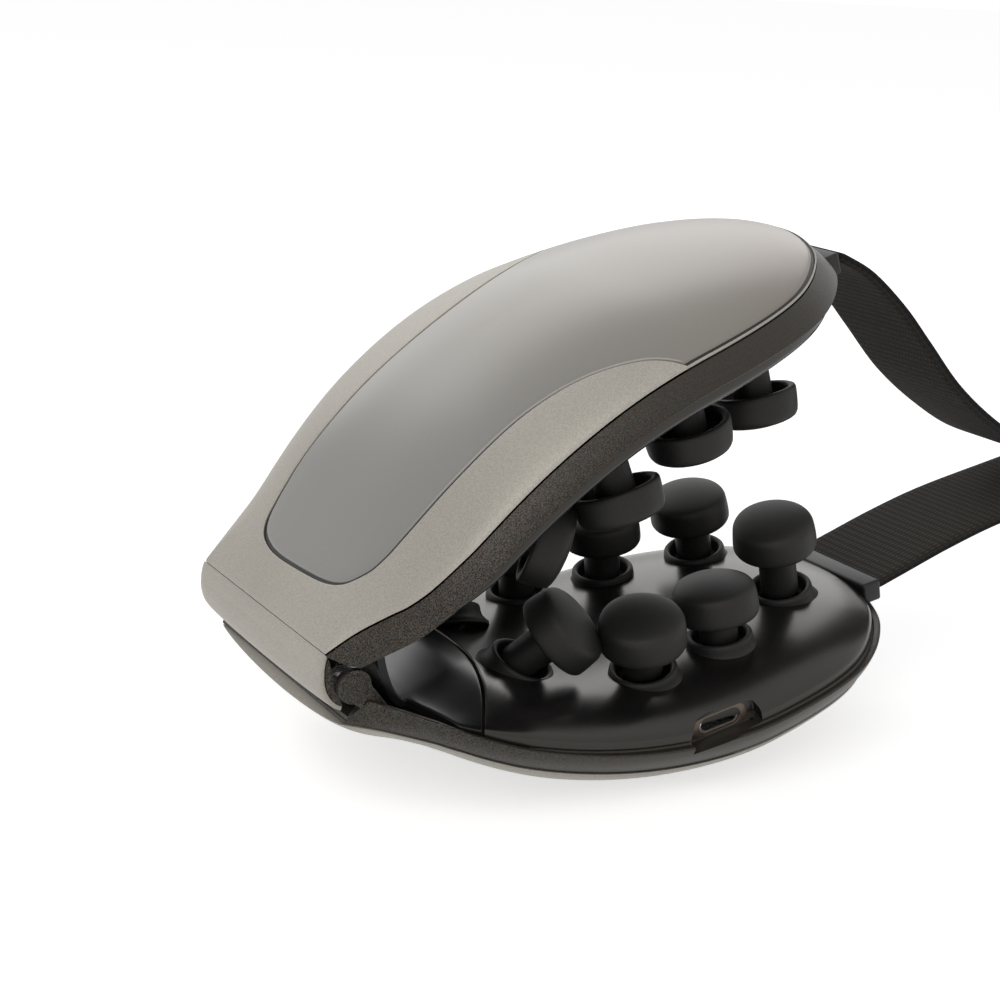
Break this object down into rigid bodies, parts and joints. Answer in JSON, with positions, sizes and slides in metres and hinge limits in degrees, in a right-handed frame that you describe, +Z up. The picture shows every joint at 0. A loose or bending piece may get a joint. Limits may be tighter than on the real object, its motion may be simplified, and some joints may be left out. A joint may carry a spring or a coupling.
{
  "type": "eye massager",
  "caption": "Folding eye massager: hinged domed lobes, rings of leaning kneading heads rocked by drive plates, a side charging port, a power button and an elastic head strap.",
  "frame": {"origin": "centre of the small flat under the lower front panel, where the massager rests", "axes": "+Z up, +X from the nose hinge to the temples and the strap, +Y along the hinge from the cheek edge to the forehead edge"},
  "size_m": [0.2324, 0.0853, 0.0984],
  "materials": {
    "champagne_shell": "fine champagne metallic paint, matte",
    "smoky_panel": "smoky warm grey, satin gloss",
    "dark_bronze": "dark bronze, satin, fine speckle",
    "satin_black_pad": "soft black skin, satin",
    "glossy_black_liner": "soft black liner, glossy",
    "charcoal_silicone": "charcoal silicone, matte",
    "dark_elastic": "black woven elastic",
    "black_plastic": "black moulded plastic",
    "bright_steel": "bright steel",
    "white_nylon": "natural nylon",
    "silver_cell": "silver pouch foil",
    "green_board": "green laminate"
  },
  "bodies": {
    "lower_lobe": {"lower_outer_shell": "champagne_shell", "lower_front_panel": "smoky_panel", "lower_inner_housing": "dark_bronze", "lower_face_pad": "satin_black_pad", "lower_motor": "bright_steel", "lower_strap_anchor": "black_plastic", "hinge_pin": "bright_steel", "hinge_end_cap_near": "dark_bronze", "hinge_end_cap_far": "dark_bronze", "nose_liner": "glossy_black_liner", "usb_port_shell": "bright_steel", "usb_tongue": "black_plastic", "circuit_board": "green_board", "battery": "silver_cell", "head_strap": "dark_elastic"},
    "upper_lobe": {"upper_outer_shell": "champagne_shell", "upper_front_panel": "smoky_panel", "upper_inner_housing": "dark_bronze", "upper_face_pad": "satin_black_pad", "upper_motor": "bright_steel", "upper_strap_anchor": "black_plastic", "upper_hinge_bracket": "bright_steel", "upper_bracket_screw_1": "bright_steel", "upper_bracket_screw_2": "bright_steel", "hinge_spine_cover": "champagne_shell"},
    "power_button": {"power_button": "smoky_panel"},
    "strap_slider": {"strap_slider": "black_plastic"},
    "lower_drive_plate": {"lower_drive_plate": "white_nylon"},
    "lower_worm_wheel": {"lower_worm_wheel": "white_nylon"},
    "lower_worm": {"lower_worm": "bright_steel"},
    "lower_head_1": {"lower_kneading_head_1": "charcoal_silicone"},
    "lower_head_2": {"lower_kneading_head_2": "charcoal_silicone"},
    "lower_head_3": {"lower_kneading_head_3": "charcoal_silicone"},
    "lower_head_4": {"lower_kneading_head_4": "charcoal_silicone"},
    "lower_head_5": {"lower_kneading_head_5": "charcoal_silicone"},
    "lower_head_6": {"lower_kneading_head_6": "charcoal_silicone"},
    "lower_head_7": {"lower_kneading_head_7": "charcoal_silicone"},
    "lower_head_8": {"lower_kneading_head_8": "charcoal_silicone"},
    "upper_drive_plate": {"upper_drive_plate": "white_nylon"},
    "upper_worm_wheel": {"upper_worm_wheel": "white_nylon"},
    "upper_worm": {"upper_worm": "bright_steel"},
    "upper_head_1": {"upper_kneading_head_1": "charcoal_silicone"},
    "upper_head_2": {"upper_kneading_head_2": "charcoal_silicone"},
    "upper_head_3": {"upper_kneading_head_3": "charcoal_silicone"},
    "upper_head_4": {"upper_kneading_head_4": "charcoal_silicone"},
    "upper_head_5": {"upper_kneading_head_5": "charcoal_silicone"},
    "upper_head_6": {"upper_kneading_head_6": "charcoal_silicone"},
    "upper_head_7": {"upper_kneading_head_7": "charcoal_silicone"},
    "upper_head_8": {"upper_kneading_head_8": "charcoal_silicone"}
  },
  "joints": [
    {"name": "fold_hinge", "type": "hinge", "parent": "lower_lobe", "child": "upper_lobe", "pos_m": [-0.06142, 0, 0.02594], "axis": [0, -1, 0], "range_deg": [0, 110], "deforming": ["nose_liner", "head_strap"]},
    {"name": "power_button_press", "type": "slide", "parent": "lower_lobe", "child": "power_button", "axis": [0, -1, 0], "range_m": [0, 0.0005], "stiffness_N_per_m": 400},
    {"name": "strap_slider_slide", "type": "slide", "parent": "lower_lobe", "child": "strap_slider", "axis": [0.9781, 0, 0.2079], "range_m": [-0.003, 0.009]},
    {"name": "lower_plate_slide", "type": "slide", "parent": "lower_lobe", "child": "lower_drive_plate", "axis": [0.9781, 0, 0.2079], "range_m": [-0.0009, 0.0009]},
    {"name": "lower_wheel_spin", "type": "hinge", "parent": "lower_lobe", "child": "lower_worm_wheel", "pos_m": [0.00748, 0.00135, 0.0048], "axis": [-0.2079, 0, 0.9781], "continuous": true},
    {"name": "lower_worm_spin", "type": "hinge", "parent": "lower_lobe", "child": "lower_worm", "pos_m": [0.00723, 0.01145, 0.00598], "axis": [0.9781, 0, 0.2079], "continuous": true},
    {"name": "lower_head_1_rock", "type": "hinge", "parent": "lower_lobe", "child": "lower_head_1", "pos_m": [-0.02295, -0.0168, 0.01811], "axis": [0, 1, 0], "range_deg": [-5.1, 5.1]},
    {"name": "lower_head_2_rock", "type": "hinge", "parent": "lower_lobe", "child": "lower_head_2", "pos_m": [-0.00031, -0.02415, 0.01626], "axis": [0, 1, 0], "range_deg": [-6.5, 6.5]},
    {"name": "lower_head_3_rock", "type": "hinge", "parent": "lower_lobe", "child": "lower_head_3", "pos_m": [0.0194, -0.02048, 0.01895], "axis": [0, 1, 0], "range_deg": [-7.9, 7.9]},
    {"name": "lower_head_4_rock", "type": "hinge", "parent": "lower_lobe", "child": "lower_head_4", "pos_m": [0.04146, -0.00994, 0.02291], "axis": [0, 1, 0], "range_deg": [-8.8, 8.8]},
    {"name": "lower_head_5_rock", "type": "hinge", "parent": "lower_lobe", "child": "lower_head_5", "pos_m": [0.04057, 0.01872, 0.02246], "axis": [0, 1, 0], "range_deg": [-9.2, 9.2]},
    {"name": "lower_head_6_rock", "type": "hinge", "parent": "lower_lobe", "child": "lower_head_6", "pos_m": [0.02004, 0.0224, 0.019], "axis": [0, 1, 0], "range_deg": [-8, 8]},
    {"name": "lower_head_7_rock", "type": "hinge", "parent": "lower_lobe", "child": "lower_head_7", "pos_m": [0.00031, 0.02387, 0.0164], "axis": [0, 1, 0], "range_deg": [-6.5, 6.5]},
    {"name": "lower_head_8_rock", "type": "hinge", "parent": "lower_lobe", "child": "lower_head_8", "pos_m": [-0.02197, 0.0126, 0.0181], "axis": [0, 1, 0], "range_deg": [-5.1, 5.1]},
    {"name": "upper_plate_slide", "type": "slide", "parent": "upper_lobe", "child": "upper_drive_plate", "axis": [0.9408, 0, 0.3391], "range_m": [-0.0009, 0.0009]},
    {"name": "upper_wheel_spin", "type": "hinge", "parent": "upper_lobe", "child": "upper_worm_wheel", "pos_m": [-0.01402, 0.00135, 0.08023], "axis": [-0.3391, 0, 0.9408], "continuous": true},
    {"name": "upper_worm_spin", "type": "hinge", "parent": "upper_lobe", "child": "upper_worm", "pos_m": [-0.01361, 0.01145, 0.0791], "axis": [0.9408, 0, 0.3391], "continuous": true},
    {"name": "upper_head_1_rock", "type": "hinge", "parent": "upper_lobe", "child": "upper_head_1", "pos_m": [-0.03286, -0.0168, 0.05288], "axis": [0, 1, 0], "range_deg": [-5.1, 5.1]},
    {"name": "upper_head_2_rock", "type": "hinge", "parent": "upper_lobe", "child": "upper_head_2", "pos_m": [-0.0146, -0.02415, 0.06638], "axis": [0, 1, 0], "range_deg": [-6.5, 6.5]},
    {"name": "upper_head_3_rock", "type": "hinge", "parent": "upper_lobe", "child": "upper_head_3", "pos_m": [0.00357, -0.02048, 0.0745], "axis": [0, 1, 0], "range_deg": [-7.9, 7.9]},
    {"name": "upper_head_4_rock", "type": "hinge", "parent": "upper_lobe", "child": "upper_head_4", "pos_m": [0.0244, -0.00994, 0.08276], "axis": [0, 1, 0], "range_deg": [-8.8, 8.8]},
    {"name": "upper_head_5_rock", "type": "hinge", "parent": "upper_lobe", "child": "upper_head_5", "pos_m": [0.02341, 0.01872, 0.08267], "axis": [0, 1, 0], "range_deg": [-9.2, 9.2]},
    {"name": "upper_head_6_rock", "type": "hinge", "parent": "upper_lobe", "child": "upper_head_6", "pos_m": [0.00414, 0.0224, 0.07479], "axis": [0, 1, 0], "range_deg": [-8, 8]},
    {"name": "upper_head_7_rock", "type": "hinge", "parent": "upper_lobe", "child": "upper_head_7", "pos_m": [-0.01399, 0.02387, 0.06659], "axis": [0, 1, 0], "range_deg": [-6.5, 6.5]},
    {"name": "upper_head_8_rock", "type": "hinge", "parent": "upper_lobe", "child": "upper_head_8", "pos_m": [-0.03203, 0.0126, 0.0534], "axis": [0, 1, 0], "range_deg": [-5.1, 5.1]}
  ],
  "couplings": [
    {"joint": "lower_worm_spin", "follows": "lower_wheel_spin", "ratio": 16},
    {"joint": "lower_head_1_rock", "follows": "lower_plate_slide", "rad_per_m": -95.776},
    {"joint": "lower_head_2_rock", "follows": "lower_plate_slide", "rad_per_m": -123.02},
    {"joint": "lower_head_3_rock", "follows": "lower_plate_slide", "rad_per_m": -150.29},
    {"joint": "lower_head_4_rock", "follows": "lower_plate_slide", "rad_per_m": -168.12},
    {"joint": "lower_head_5_rock", "follows": "lower_plate_slide", "rad_per_m": -175.72},
    {"joint": "lower_head_6_rock", "follows": "lower_plate_slide", "rad_per_m": -152.04},
    {"joint": "lower_head_7_rock", "follows": "lower_plate_slide", "rad_per_m": -122.9},
    {"joint": "lower_head_8_rock", "follows": "lower_plate_slide", "rad_per_m": -95.886},
    {"joint": "upper_worm_spin", "follows": "upper_wheel_spin", "ratio": -16},
    {"joint": "upper_head_1_rock", "follows": "upper_plate_slide", "rad_per_m": 95.776},
    {"joint": "upper_head_2_rock", "follows": "upper_plate_slide", "rad_per_m": 123.02},
    {"joint": "upper_head_3_rock", "follows": "upper_plate_slide", "rad_per_m": 150.29},
    {"joint": "upper_head_4_rock", "follows": "upper_plate_slide", "rad_per_m": 168.12},
    {"joint": "upper_head_5_rock", "follows": "upper_plate_slide", "rad_per_m": 175.72},
    {"joint": "upper_head_6_rock", "follows": "upper_plate_slide", "rad_per_m": 152.04},
    {"joint": "upper_head_7_rock", "follows": "upper_plate_slide", "rad_per_m": 122.9},
    {"joint": "upper_head_8_rock", "follows": "upper_plate_slide", "rad_per_m": 95.886}
  ]
}
